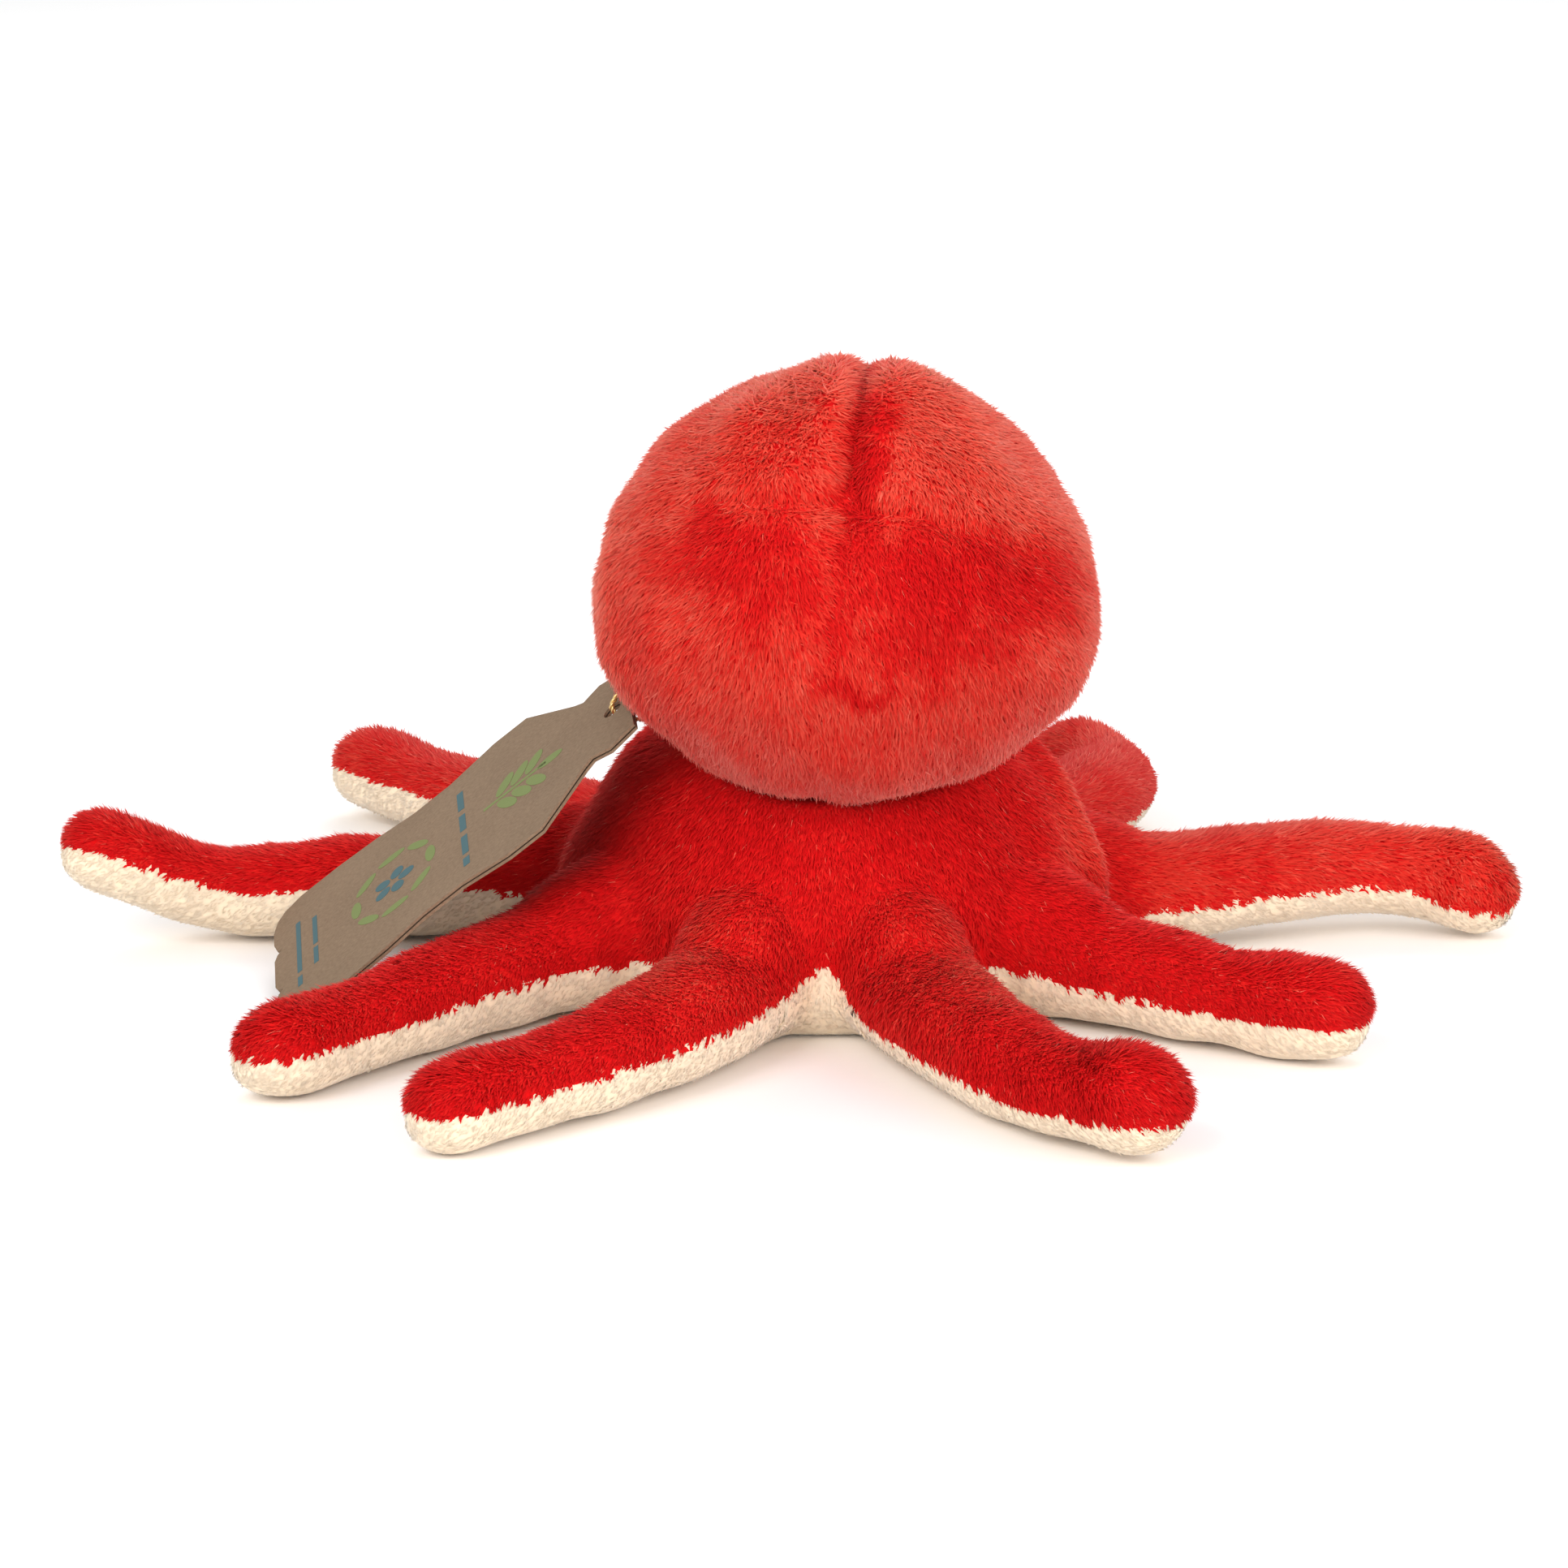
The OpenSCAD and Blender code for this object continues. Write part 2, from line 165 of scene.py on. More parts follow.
# the lie of the arms, as cut: root heading, tip, tip heading, runs
arms = {
    "a": (-108, (-71, -126), -136, 42, 26), "b": (-149, (-104, -94), -138, 26, 32),
    "c": (160, (-148, 13), 190, 40, 30), "d": (124, (-101, 124), 131, 30, 30),
    "e": (-74, (61, -129), -30, 42, 28), "f": (-36, (97, -68), -24, 26, 22),
    "g": (13, (130, 16), -62, 40, 34), "h": (57, (42, 128), 160, 38, 36),
}
rootRadius = 50.5


def heading(angle):
    return np.array([math.cos(math.radians(angle)), math.sin(math.radians(angle))])


def armLine(name, count=41):
    root, tip, tipAngle, runIn, runOut = arms[name]
    a, d = rootRadius * heading(root), np.array(tip, float)
    b, c = a + runIn * heading(root), d - runOut * heading(tipAngle)
    t = np.linspace(0, 1, count)[:, None]
    u = 1 - t
    return a * u**3 + 3 * b * u * u * t + 3 * c * u * t * t + d * t**3


armLines = {k: armLine(k) for k in arms}


# mesh helpers
def points(mesh):
    co = np.empty(len(mesh.vertices) * 3, np.float32)
    mesh.vertices.foreach_get("co", co)
    return co.reshape(-1, 3).astype(float)


def corners(mesh):
    tri = np.empty(len(mesh.loops), np.int32)
    mesh.loops.foreach_get("vertex_index", tri)
    return tri.reshape(-1, 3)


def meshFrom(name, co, tri, slots, materials, normals=None):
    mesh = bpy.data.meshes.new(name)
    mesh.vertices.add(len(co))
    mesh.vertices.foreach_set("co", co.astype(np.float32).ravel())
    mesh.loops.add(len(tri) * 3)
    mesh.loops.foreach_set("vertex_index", tri.astype(np.int32).ravel())
    mesh.polygons.add(len(tri))
    mesh.polygons.foreach_set("loop_start", np.arange(0, len(tri) * 3, 3, dtype=np.int32))
    mesh.polygons.foreach_set("material_index", slots.astype(np.int32))
    mesh.polygons.foreach_set("use_smooth", np.ones(len(tri), bool))
    for m in materials:
        mesh.materials.append(m)
    mesh.update(calc_edges=True)
    if normals is not None:
        mesh.normals_split_custom_set_from_vertices(normals.astype(np.float32))
    piece = bpy.data.objects.new(name, mesh)
    scene.collection.objects.link(piece)
    return piece


def unit(v):
    return v / np.maximum(np.linalg.norm(v, axis=-1, keepdims=True), 1e-12)


def vertexNormals(co, tri):
    face = np.cross(co[tri[:, 1]] - co[tri[:, 0]], co[tri[:, 2]] - co[tri[:, 0]])
    total = np.zeros_like(co)
    for i in range(3):
        np.add.at(total, tri[:, i], face)
    return unit(total)


# slow changes over the cloth, from a few crossing waves
waves = np.random.default_rng(3)
waveWay = unit(waves.normal(size=(9, 3)))
wavePhase = waves.uniform(0, 6.28, 9)


def drift(p, size, shift=0):
    w = 6.28 / size * (1 + 0.35 * np.arange(9) / 9)
    return np.sin((p @ waveWay.T) * w + wavePhase + shift).sum(1) / 3.2


# the form under the pile: skirt with its arms
form = {"voxel": 1.5, "shoulder": (23, 13, 15), "shoulderAt": (45, 13.5), "shoulderTurn": 8, "smooth": 20,
        "tipBack": 11, "tipReach": 12, "tipSwell": 0.55, "waistAt": 29, "waistReach": 13, "waistDepth": 0.35,
        "rough": 0.25, "roughSize": 19, "lowest": 0.45,
        "plump": {"a": 0.9, "b": 0.9, "c": 1, "d": 0.6, "e": 1.8, "f": 1.6, "g": 1.5, "h": 0.6},
        "creamRise": {"a": 2.2, "b": 2.6, "c": 3.6, "d": 3, "e": -0.4, "f": 0.8, "g": 0, "h": -1}}


def copyNode(name):
    piece = nodes[name].copy()
    piece.data = nodes[name].data.copy()
    piece.parent = None
    piece.matrix_world = Matrix.Identity(4)
    scene.collection.objects.link(piece)
    return piece


def addShoulder(angle):
    sx, sy, sz = form["shoulder"]
    out, up = form["shoulderAt"]
    place = heading(angle) * out
    deselectAll()
    bpy.ops.mesh.primitive_uv_sphere_add(segments=32, ring_count=16, radius=mm,
        location=(place[0] * mm, place[1] * mm, up * mm),
        rotation=(0, math.radians(form["shoulderTurn"]), math.radians(angle)))
    piece = bpy.context.object
    piece.scale = (sx, sy, sz)
    return piece


def joinAll(parts, name):
    deselectAll()
    for p in parts:
        p.select_set(True)
    bpy.context.view_layer.objects.active = parts[0]
    bpy.ops.object.transform_apply(location=True, rotation=True, scale=True)
    bpy.ops.object.join()
    piece = bpy.context.object
    piece.name = name
    return piece


def applyModifier(piece, kind, **settings):
    deselectAll()
    piece.select_set(True)
    bpy.context.view_layer.objects.active = piece
    made = piece.modifiers.new(kind.lower(), kind)
    for key, value in settings.items():
        setattr(made, key, value)
    bpy.ops.object.modifier_apply(modifier=made.name)


def buildForm():
    names = ["body_stuffing", "belly", "skirt_rear_left", "skirt_rear_right",
             "skirt_front_left", "skirt_front_right"]
    for k in arms:
        names += ["arm_%s_%s" % (k, part) for part in ("top", "under", "stuffing")]
    parts = [copyNode(n) for n in names] + [addShoulder(arms[k][0]) for k in arms]
    piece = joinAll(parts, "skirtForm")
    applyModifier(piece, "REMESH", mode="VOXEL", voxel_size=form["voxel"] * mm,
                  adaptivity=0, use_smooth_shade=True)
    applyModifier(piece, "SMOOTH", factor=0.5, iterations=form["smooth"])
    applyModifier(piece, "TRIANGULATE")
    return piece


def near(p, start, end):
    a, b = np.array(start, float), np.array(end, float)
    t = np.clip((p - a) @ (b - a) / ((b - a) @ (b - a)), 0, 1)
    return np.linalg.norm(p - a - t[:, None] * (b - a), axis=1)


# folds along the skirt: start, end, reach, rise
folds = [((38, 2, 45), (51, -11, 14), 5, 3), ((34, -24, 38), (44, -32, 22), 6, -1.3)]
rearBelly = {"turn": -91, "spread": 11, "height": 16, "fade": 10, "reach": 62, "out": 3}


def turnFrom(p, start):
    return np.degrees(np.arctan2(p[:, 1], p[:, 0])) - start


# plump tips, the folds at the right of the skirt and the full rear of the belly
def shapeForm(piece):
    co, tri = points(piece.data) * 1000, corners(piece.data)
    n = vertexNormals(co, tri)
    move = np.zeros(len(co))
    lift = np.zeros(len(co))
    for k, line in armLines.items():
        tip = line[-1] - unit(line[-1] - line[-3]) * form["tipBack"]
        gap = np.linalg.norm(co[:, :2] - tip, axis=1)
        plump = form["plump"][k] * np.exp(-(gap / form["tipReach"]) ** 2)
        move += plump * form["tipSwell"]
        lift += plump * np.clip((co[:, 2] - 4) / 10, 0, 1)
        waist = np.linalg.norm(co[:, :2] - line[form["waistAt"]], axis=1)
        move -= form["waistDepth"] * np.exp(-(waist / form["waistReach"]) ** 2)
    for start, end, reach, rise in folds:
        move += rise * np.exp(-(near(co, start, end) / reach) ** 2)
    belly = rearBelly
    rear = np.exp(-(turnFrom(co, belly["turn"]) / belly["spread"]) ** 2)
    rear *= np.clip((belly["height"] - co[:, 2]) / belly["fade"], 0, 1)
    rear *= np.linalg.norm(co[:, :2], axis=1) < belly["reach"]
    out = unit(co * [1, 1, 0])
    rough = form["rough"] * drift(co, form["roughSize"], 3)
    co += n * (move + rough)[:, None] + out * (belly["out"] * rear)[:, None]
    co[:, 2] += lift
    piece.data.vertices.foreach_set("co", (co * mm).astype(np.float32).ravel())
    piece.data.update()


skirtForm = buildForm()
shapeForm(skirtForm)
print("skirt form:", len(skirtForm.data.polygons), "faces")

# the form of the mantle
mantle = {"centre": (3, -26, 81), "size": (44.5, 40, 40), "pole": 32, "twist": 7,
          "narrow": (0.15, 0.06), "lumps": ((0.8, 46, 0), (0.35, 17, 2)), "pad": 0.5}
# seams: depth above the pole, its fade with height, depth below, half widths
seams = {"above": 3.4, "fade": 0.012, "below": 1.1, "width": 3.0, "side": 1.7, "sideWidth": 2.2,
         "sideReach": 46, "size": (44, 40), "dimple": 2.2, "dimpleWidth": 0.2, "deepest": 4.2}
mantleAt = np.array(mantle["centre"], float)
poleWay = np.array([0, -math.cos(math.radians(mantle["pole"])), math.sin(math.radians(mantle["pole"]))])
acrossWay = np.array([0, math.sin(math.radians(mantle["pole"])), math.cos(math.radians(mantle["pole"]))])


def buildMantle():
    deselectAll()
    bpy.ops.mesh.primitive_ico_sphere_add(subdivisions=6, radius=1)
    piece = bpy.context.object
    piece.name = "mantleForm"
    q = points(piece.data)  # on the unit sphere
    side, up, back = q[:, 0], q @ acrossWay, q @ poleWay
    co = q * np.array(mantle["size"])
    # narrower towards the crown and full below, as the stuffing settles
    high = q[:, 2]
    co[:, 0] *= np.clip(1 - mantle["narrow"][0] * high, 0, 1.05)
    co[:, 1] *= np.clip(1 - mantle["narrow"][1] * high, 0, 1.03)
    n = unit(q / np.array(mantle["size"]))
    lump = sum(height * drift(co, size, shift) for height, size, shift in mantle["lumps"])
    # the seams pull in: deep above the pole, lightly at the sides and below
    turn = math.radians(mantle["twist"])
    across = (side * math.cos(turn) - up * math.sin(turn)) * seams["size"][0]
    rise = (side * math.sin(turn) + up * math.cos(turn)) * seams["size"][1]
    deep = np.where(rise > 0, seams["above"] * np.clip(1.05 - seams["fade"] * rise, 0, 1), seams["below"])
    groove = deep * np.exp(-(across / seams["width"]) ** 2)
    reach = np.clip(1.15 - np.abs(across) / seams["sideReach"], 0, 1)
    groove += seams["side"] * reach * np.exp(-(rise / seams["sideWidth"]) ** 2)
    dimple = seams["dimple"] * np.exp(-(np.arccos(np.clip(back, -1, 1)) / seams["dimpleWidth"]) ** 2)
    groove = np.minimum(groove + dimple, seams["deepest"])
    groove *= np.clip(back + 1.1, 0, 1)
    co += n * (lump - groove + mantle["pad"])[:, None]
    piece.data.vertices.foreach_set("co", ((co + mantleAt) * mm).astype(np.float32).ravel())
    piece.data.update()
    return piece


mantleForm = buildMantle()
print("mantle form:", len(mantleForm.data.polygons), "faces")


# sort the faces of a form by the sewn panel that they belong to
def sortSkirt(co, tri):
    names = ["belly"]
    names += ["skirt_%s_%s" % (a, b) for a in ("rear", "front") for b in ("left", "right")]
    names += ["arm_%s_%s" % (k, part) for k in arms for part in ("top", "under")]
    allCo, allTri, owner, start = [], [], [], 0
    for i, n in enumerate(names):
        v, f = points(nodes[n].data) * 1000, corners(nodes[n].data)
        allCo.append(v)
        allTri.append(f + start)
        owner += [i] * len(f)
        start += len(v)
    tree = BVHTree.FromPolygons(np.concatenate(allCo).tolist(), np.concatenate(allTri).tolist(),
                                all_triangles=True)
    middle = co[tri].mean(1)
    keys = sorted(arms)
    gap = np.stack([np.linalg.norm(middle[:, None, :2] - armLines[k][None], axis=2).min(1) for k in keys], 1)
    rise = np.array([form["creamRise"][k] for k in keys])[gap.argmin(1)]
    far = np.clip((np.linalg.norm(middle[:, :2], axis=1) - 52) / 14, 0, 1)
    turn = turnFrom(middle, rearBelly["turn"])
    middle[:, 2] -= rise * far + (1.2 + 3 * np.exp(-(turn / 9) ** 2)) * (1 - far)
    label = np.array([owner[tree.find_nearest(Vector(m))[2]] for m in middle])
    out = []
    for m, i in zip(middle, label):
        name = names[i]
        if name.startswith("arm_") and m[:2] @ heading(arms[name[4]][0]) < rootRadius - 0.3:
            corner = ("rear" if m[1] < 0 else "front", "left" if m[0] < 0 else "right")
            name = "belly" if m[2] < 10 else "skirt_%s_%s" % corner
        out.append(name)
    return np.array(out)


def sortMantle(co, tri):
    m = co[tri].mean(1) - mantleAt
    turn = math.radians(mantle["twist"])
    side, up = m[:, 0], m @ acrossWay
    left = side * math.cos(turn) - up * math.sin(turn) < 0
    upper = side * math.sin(turn) + up * math.cos(turn) > 0
    return np.where(upper, np.where(left, "mantle_upper_left", "mantle_upper_right"),
                    np.where(left, "mantle_lower_left", "mantle_lower_right"))


# the lie of the pile: outward and down the skirt, along the arms, down the mantle
nap = {"down": -0.55, "skirtEnd": 44, "skirtFade": 16, "mantle": (0.12, 0.1, -1.0), "swirl": 0.35,
       "swirlSize": 50}


def napArm(p, n):
    way = np.zeros_like(p)
    best = np.full(len(p), 1e9)
    for k, line in armLines.items():
        tangent = unit(np.gradient(line, axis=0))
        gap = np.linalg.norm(p[:, None, :2] - line[None], axis=2)
        i = gap.argmin(1)
        d = gap[np.arange(len(p)), i]
        closer = d < best
        best[closer] = d[closer]
        way[closer, :2] = tangent[i[closer]]
    out = unit(p * [1, 1, 0])
    far = np.linalg.norm(p[:, :2], axis=1)
    blend = np.clip((far - nap["skirtEnd"]) / nap["skirtFade"], 0, 1)[:, None]
    return way * blend + out * (1 - blend) + np.array([0, 0, nap["down"]])


def napMantle(p, n):
    way = np.tile(nap["mantle"], (len(p), 1))
    return way + drift(p, nap["swirlSize"], 1)[:, None] * np.cross(n, way) * nap["swirl"]


# where the pile stands up: the tips of the arms and all of the mantle
fluff = {"tipBack": 8, "tipReach": 1.6, "tipFade": 14, "mantleFrom": 60, "mantle": 0.6}


def fluffy(p):
    tips = np.stack([line[-1] - unit(line[-1] - line[-3]) * fluff["tipBack"] for line in armLines.values()])
    gap = np.linalg.norm(p[:, None, :2] - tips[None], axis=2).min(1)
    onTips = np.clip(fluff["tipReach"] - gap / fluff["tipFade"], 0, 1)
    return onTips + fluff["mantle"] * (p[:, 2] > fluff["mantleFrom"])


# one tuft: scatter of its way and lean, its lengths, widths and depth of root
tuft = {"scatter": 0.28, "leanScatter": 8, "rested": 87, "lengths": (0.75, 1.12), "widths": (0.75, 1.2),
        "root": 0.25, "glint": 0.45, "toneScatter": 0.42, "hemReach": 6, "floor": 0.1, "sunk": 0.02,
        "shadeOut": 0.8, "shadeAlong": 0.35}


# even random places on the cloth, with the way it faces there
def plantTufts(rng, co, tri, normal, density, keep):
    a, b, c = co[tri[:, 0]], co[tri[:, 1]], co[tri[:, 2]]
    area = 0.5 * np.linalg.norm(np.cross(b - a, c - a), axis=1)
    count = rng.poisson(area * density)
    face = np.repeat(np.arange(len(tri)), count)
    r1, r2 = np.sqrt(rng.random(len(face))), rng.random(len(face))
    w = np.stack([1 - r1, r1 * (1 - r2), r1 * r2], 1)
    p = (co[tri[face]] * w[..., None]).sum(1)
    n = unit((normal[tri[face]] * w[..., None]).sum(1))
    if keep is not None:
        ok = keep(p)
        p, n = p[ok], n[ok]
    return p, n


def growPile(rng, p, n, style, lie, tone, tones, hem=None):
    d = lie(p, n) + rng.normal(scale=tuft["scatter"], size=p.shape)
    d = unit(d - n * (d * n).sum(1, keepdims=True))
    lean = style["lean"] - style["fluff"] * fluffy(p) + rng.normal(scale=tuft["leanScatter"], size=len(p))
    resting = (n[:, 2] < -0.25) & (p[:, 2] < 2.5)  # pressed flat on the floor
    lean = np.radians(np.where(resting, tuft["rested"], lean))[:, None]
    way = n * np.cos(lean) + d * np.sin(lean)
    length = style["length"] * rng.uniform(*tuft["lengths"], len(p))[:, None]
    if hem:
        gap = np.array([hem.find(q)[2] for q in p])[:, None]
        length *= np.clip(style["hem"] + gap / tuft["hemReach"], 0, 1)
    tip = p + way * length
    foot = p - n * tuft["root"]
    tip[:, 2] = np.maximum(tip[:, 2], tuft["floor"])
    wide = unit(np.cross(way, n))
    thick = unit(np.cross(wide, way))
    half = style["width"] * rng.uniform(*tuft["widths"], len(p))[:, None]
    glint = rng.random(len(p)) < style["glint"]
    half[glint] *= tuft["glint"]
    v = np.stack([foot - wide * half, foot + wide * half, foot + thick * half * 0.8, tip], 1)
    v[:, :3, 2] = np.maximum(v[:, :3, 2], tuft["floor"] - tuft["sunk"])
    faces = np.array([[0, 3, 1], [1, 3, 2], [2, 3, 0], [0, 1, 2]])
    f = (np.arange(len(p)) * 4)[:, None, None] + faces[None]
    soft = np.repeat(n[:, None], 4, axis=1)  # shaded as the cloth below is, tips a little along the nap
    soft[:, 3] = tuft["shadeOut"] * n + tuft["shadeAlong"] * way
    soft = unit(soft)
    shade = tone(p) + rng.normal(scale=tuft["toneScatter"], size=len(p))
    slot = np.clip(np.round(shade), 0, len(tones) - 1).astype(int)
    slot[glint] = len(tones) - 1
    return v.reshape(-1, 3), f.reshape(-1, 3), np.repeat(slot, 4), soft.reshape(-1, 3)


clothThick, lowestBack = 0.8, 0.3


# the cloth of a panel, with its back and a wall round its rim
def panelSolid(co, tri, normal):
    used, flat = np.unique(tri, return_inverse=True)
    tri = flat.reshape(-1, 3)
    co, normal = co[used], normal[used]
    edges = np.concatenate([tri[:, [0, 1]], tri[:, [1, 2]], tri[:, [2, 0]]])
    key = np.sort(edges, 1)
    _, index, times = np.unique(key, axis=0, return_index=True, return_counts=True)
    rim = edges[index[times == 1]]
    count = len(co)
    back = co - normal * clothThick
    back[:, 2] = np.maximum(back[:, 2], np.minimum(co[:, 2], lowestBack))
    walls = np.concatenate([np.stack([rim[:, 1], rim[:, 0], rim[:, 0] + count], 1),
                            np.stack([rim[:, 1], rim[:, 0] + count, rim[:, 1] + count], 1)])
    faces = np.concatenate([tri, tri[:, ::-1] + count, walls])
    return np.concatenate([co, back]), faces, np.concatenate([normal, -normal]), tri, co, normal


def title(node):
    words = node.split("_") if "_" in node else [node, "cloth"]
    return words[0] + "".join(w.capitalize() for w in words[1:])


def makePanel(node, co, tri, normal, style, lie, tone, tones, seed, keep=None, hem=None):
    rng = np.random.default_rng(seed)
    v, f, n, faceTri, faceCo, faceNormal = panelSolid(co, tri, normal)
    root, facing = plantTufts(rng, faceCo, faceTri, faceNormal, style["density"], keep)
    pv, pf, ps, pn = growPile(rng, root, facing, style, lie, tone, tones, hem)
    slots = np.concatenate([np.full(len(f), 1), ps])
    return meshFrom(title(node), np.concatenate([v, pv]) * mm, np.concatenate([f, pf + len(v)]),
                    slots, tones, np.concatenate([n, pn]))


# tones of the skirt and arms: even, with clouds and flecks that differ at random; painted light makes them
# lighter to the front, where light catches the far side, lighter on the knuckles over the shade that falls
# there, and lighter on arm g, with a painted highlight on the right fold
armTone = {"plain": 1.15, "cloud": (0.22, 34), "fleck": (0.18, 9), "front": 1.1, "knuckleLight": 1.2,
           "knuckleReach": 15, "fold": 2.2, "foldAt": (47, -8), "foldSize": (8, 14), "armG": 1.3,
           "armGReach": 16}
# the knuckles of arms a and e, where painted light lifts the shade that falls there
knuckles = [((-20, -58, 24), (-24, -78, 20)), ((17, -60, 24), (30, -84, 20))]


def toneArm(p):
    look = armTone
    shade = look["plain"] + look["cloud"][0] * drift(p, look["cloud"][1])
    shade += look["fleck"][0] * drift(p, look["fleck"][1], 1)
    # painted light: lighter towards the front, on the far side from the camera
    shade += look["front"] * np.clip((p[:, 1] + 5) / 60, 0, 1)
    # painted highlight along the ridge of the fold at the right of the skirt
    fx, fy = ((p[:, i] - look["foldAt"][i]) / look["foldSize"][i] for i in range(2))
    fold = np.exp(-fx**2 - fy**2) * np.clip((p[:, 2] - 12) / 14, 0, 1)
    # painted light on the far end of arm g
    onG = np.linalg.norm(p[:, None, :2] - armLines["g"][None], axis=2).min(1) < look["armGReach"]
    # painted light on the knuckles
    gap = np.minimum(*[near(p, start, end) for start, end in knuckles])
    shade += look["knuckleLight"] * np.exp(-(gap / look["knuckleReach"]) ** 2)
    return shade + look["fold"] * fold + look["armG"] * onG * np.clip((p[:, 0] - 50) / 12, 0, 1)


# patches where the pile is brushed flat, their darker look painted in as painted shade: middle across and up,
# radii, depth
pressed = [(0.46, -0.02, 0.44, 0.2, 2.3), (0.36, -0.3, 0.3, 0.16, 1.7), (-0.42, 0.1, 0.32, 0.14, 1.9),
           (-0.3, -0.1, 0.16, 0.18, 1.4), (0.09, 0.6, 0.06, 0.3, 2.2), (0.03, 0.34, 0.09, 0.2, 2.2),
           (0.04, 0.1, 0.12, 0.2, 2.0), (-0.02, -0.16, 0.1, 0.26, 1.5), (0.05, -0.52, 0.17, 0.04, 1.8),
           (-0.14, -0.44, 0.03, 0.1, 1.3), (0.17, -0.42, 0.05, 0.12, 1.5)]


patchView, patchSize = 15, (44, 40)  # laid out as seen a little from above, on the mantle's half sizes
# the mantle's base tone sits above the skirt's: painted light on the top of the toy, with more painted light to
# the upper right
mantleTone = {"plain": 3.5, "upperRight": 0.5, "cloud": (0.25, 34), "fleck": (0.2, 8), "warp": (0.05, 14)}


def toneMantle(p):
    q, look = p - mantleAt, mantleTone
    lean = math.radians(patchView)
    side = q[:, 0] / patchSize[0]
    up = (q[:, 1] * math.sin(lean) + q[:, 2] * math.cos(lean)) / patchSize[1]
    # painted light: lighter towards the upper right
    shade = look["plain"] + look["upperRight"] * np.clip(side + up - 0.5, 0, 1)
    shade += look["cloud"][0] * drift(p, look["cloud"][1], 4) + look["fleck"][0] * drift(p, look["fleck"][1], 2)
    warp = look["warp"][0] * drift(p, look["warp"][1], 5)
    # painted shade: darker in the patches of brushed-flat pile
    total = np.zeros(len(p))
    for a, b, c, d, deep in pressed:
        far = np.hypot((side - a + warp) / c, (up - b - warp) / d)
        total = np.maximum(total, deep * np.clip(1.6 - far, 0, 1))
    return shade - total


def toneCream(p):
    return 1.0 + 0.4 * drift(p, 22)


eyes = {"radius": 5.5, "clear": 1.2}


def clearOfEyes(p):
    ok = np.ones(len(p), bool)
    for eye in ("eye_left", "eye_right"):
        lo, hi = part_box(eye)
        middle = (np.array(lo) + np.array(hi)) / 2 / mm
        ok &= np.linalg.norm(p - middle, axis=1) > eyes["radius"] + eyes["clear"]
    return ok


def isCream(node):
    return node == "belly" or node.endswith("under")


# the line where red plush meets cream: the pile is clipped short along it
def findHem(co, tri, label):
    cream = np.array([isCream(node) for node in label])
    line = co[np.intersect1d(tri[cream], tri[~cream])]
    tree = KDTree(len(line))
    for i, p in enumerate(line):
        tree.insert(p, i)
    tree.balance()
    return tree


def buildPanels():
    made = {}
    co, tri = points(skirtForm.data) * 1000, corners(skirtForm.data)
    co[:, 2] = np.maximum(co[:, 2], form["lowest"])
    normal = vertexNormals(co, tri)
    label = sortSkirt(co, tri)
    hem = findHem(co, tri, label)
    for i, node in enumerate(sorted(set(label))):
        part = tri[label == node]
        cream, red = (creamPile, creamTones, toneCream), (redPile, redTones, toneArm)
        style, tones, tone = cream if isCream(node) else red
        made[node] = makePanel(node, co, part, normal, style, napArm, tone, tones, 100 + i, hem=hem)
    co, tri = points(mantleForm.data) * 1000, corners(mantleForm.data)
    normal = vertexNormals(co, tri)
    label = sortMantle(co, tri)
    for i, node in enumerate(sorted(set(label))):
        made[node] = makePanel(node, co, tri[label == node], normal, redPile, napMantle,
                               toneMantle, redTones, 200 + i, clearOfEyes)
    return made


panels = buildPanels()
for shape in (skirtForm, mantleForm):
    bpy.data.objects.remove(shape, do_unlink=True)
print("panels:", sum(len(p.data.polygons) for p in panels.values()), "faces")

# each panel takes the place of its part; one of a group stands for the filling too
fillOf = {"mantle_upper_left": "mantle_stuffing", "belly": "body_stuffing"}
fillOf.update({"arm_%s_top" % k: "arm_%s_stuffing" % k for k in arms})


def declarePanel(node, piece):
    "cream_velour" if isCream(node) else "red_plush"
    if node.startswith("arm_"):
        k = node[4]
        "arm_%s_body" % k
        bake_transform(piece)
    else:
        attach(piece, "mantle_body" if node.startswith("mantle") else "skirt_body")
    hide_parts(node, *([fillOf[node]] if node in fillOf else []))


for node, piece in panels.items():
    declarePanel(node, piece)

# hard and paper pieces keep their own meshes
eyeBlack = Finish("eyeBlack", Base_Color=(0.006, 0.005, 0.005, 1), Roughness=0.12,
                  Specular_IOR_Level=0.35).material
plainWhite = Finish("plainWhite", Base_Color=(0.85, 0.85, 0.82, 1), Roughness=0.5).material


def cardFinish():
    card = Finish("kraftCard", Roughness=0.9, Specular_IOR_Level=0.2)
    place = card.node("ShaderNodeTexCoord", out=3)
    fibre = card.node("ShaderNodeMapping", values={"Vector": place, "Scale": (1100, 2600, 1800)})
    speck = card.node("ShaderNodeTexNoise", values={"Vector": fibre, "Scale": 1.0, "Detail": 4.0})
    cloud = card.node("ShaderNodeTexNoise", values={"Vector": place, "Scale": 60.0, "Detail": 2.0})
    tone = speck * 0.75 + cloud * 0.25
    stops = [(0.3, (0.165, 0.110, 0.068)), (0.68, (0.240, 0.166, 0.106))]
    colour = card.node("ShaderNodeValToRGB", {"stops": stops}, {"Fac": tone})
    bump = card.node("ShaderNodeBump", values={"Height": speck, "Strength": 0.25, "Distance": 0.0002})
    return card.feed(Base_Color=colour, Normal=bump).material


kraftCard = cardFinish()
printGreen = Finish("printGreen", Base_Color=(0.15, 0.19, 0.055, 1), Roughness=0.85).material
printTeal = Finish("printTeal", Base_Color=(0.045, 0.105, 0.118, 1), Roughness=0.85).material
goldThread = Finish("goldThread", Base_Color=(0.72, 0.50, 0.2, 1), Roughness=0.32, Metallic=0.75).material


def dress(node, material):
    data = nodes[node].data
    data.materials.clear()
    data.materials.append(material)


